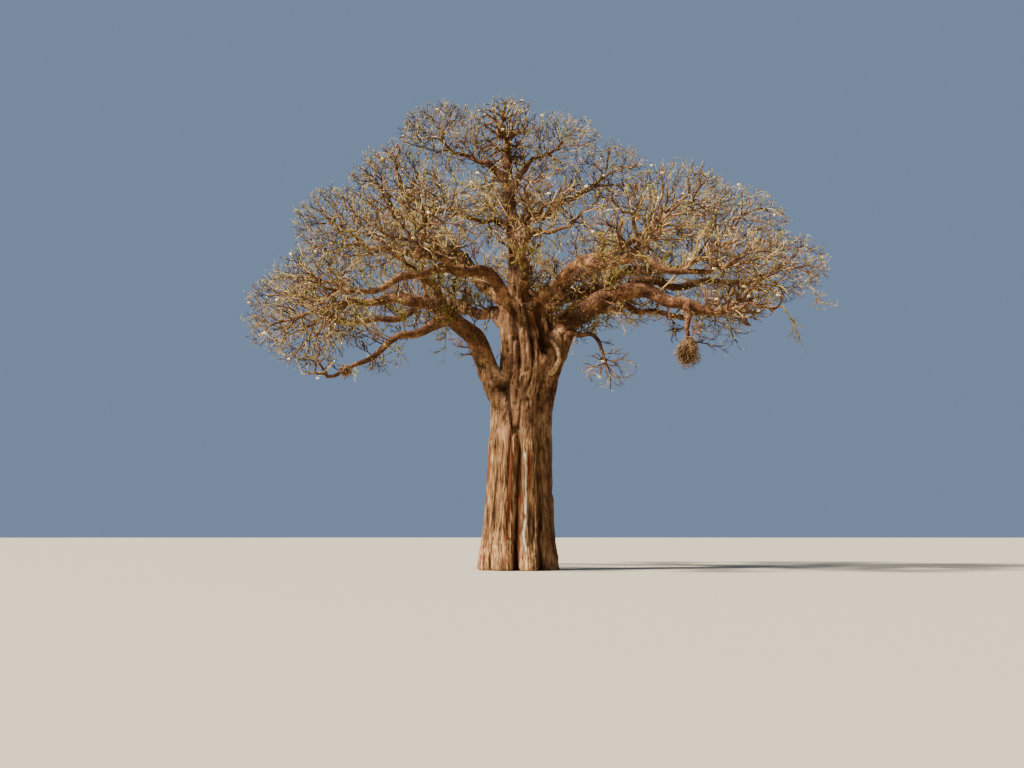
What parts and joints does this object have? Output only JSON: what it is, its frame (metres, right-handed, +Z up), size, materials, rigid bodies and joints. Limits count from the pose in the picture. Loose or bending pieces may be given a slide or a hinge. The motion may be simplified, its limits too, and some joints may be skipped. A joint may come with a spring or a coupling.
{
  "type": "baobab tree",
  "caption": "Whole bare baobab tree with a stout fluted trunk, heavy spreading boughs, open masses of twigs, large white blossoms and stick nests on the lower boughs.",
  "frame": {"origin": "middle of the flat cut under the trunk, at ground level", "axes": "+Z up along the trunk, +X to the right and +Y away as the tree is seen in the picture"},
  "size_m": [26.6374, 22.5258, 21.9333],
  "materials": {
    "trunk_bark": "rough fluted bark, stripped in places, with red-brown grooves and pale scars",
    "bough_bark": "smooth thick pinkish-brown bark with fine wrinkles",
    "twigs": "dry tan twigs with white blossoms",
    "nest_sticks": "matted dry sticks"
  },
  "bodies": {
    "root": {"trunk": "trunk_bark", "bough_left": "bough_bark", "bough_left_reach": "bough_bark", "bough_left_low": "bough_bark", "bough_left_branch": "bough_bark", "bough_left_up": "bough_bark", "bough_left_shoulder": "bough_bark", "leader": "bough_bark", "leader_left": "bough_bark", "leader_right": "bough_bark", "leader_low_left": "bough_bark", "leader_low_right": "bough_bark", "leader_shelf": "bough_bark", "leader_back": "bough_bark", "bough_right": "bough_bark", "bough_right_reach": "bough_bark", "bough_right_outer": "bough_bark", "bough_right_mid": "bough_bark", "bough_right_high": "bough_bark", "bough_droop": "bough_bark", "bough_hang": "bough_bark", "bough_front_left": "bough_bark", "bough_front": "bough_bark", "bough_front_right": "bough_bark", "bough_front_left_low": "bough_bark", "bough_front_right_low": "bough_bark", "bough_back_left": "bough_bark", "bough_back": "bough_bark", "bough_back_right": "bough_bark", "bough_back_left_low": "bough_bark", "bough_back_right_low": "bough_bark", "nest_right": "nest_sticks", "nest_left": "nest_sticks", "twigs_far_left": "twigs", "twigs_left_low": "twigs", "twigs_left_middle": "twigs", "twigs_left_shoulder": "twigs", "twigs_upper_left": "twigs", "twigs_top_left": "twigs", "twigs_top": "twigs", "twigs_top_right": "twigs", "twigs_inner_left": "twigs", "twigs_inner_right": "twigs", "twigs_shelf": "twigs", "twigs_top_back": "twigs", "twigs_right_low": "twigs", "twigs_far_right": "twigs", "twigs_right_shoulder": "twigs", "twigs_right_high": "twigs", "twigs_droop": "twigs", "twigs_front_left": "twigs", "twigs_front": "twigs", "twigs_front_right": "twigs", "twigs_front_left_low": "twigs", "twigs_front_right_low": "twigs", "twigs_back_left": "twigs", "twigs_back": "twigs", "twigs_back_right": "twigs", "twigs_back_left_low": "twigs", "twigs_back_right_low": "twigs"}
  },
  "joints": []
}
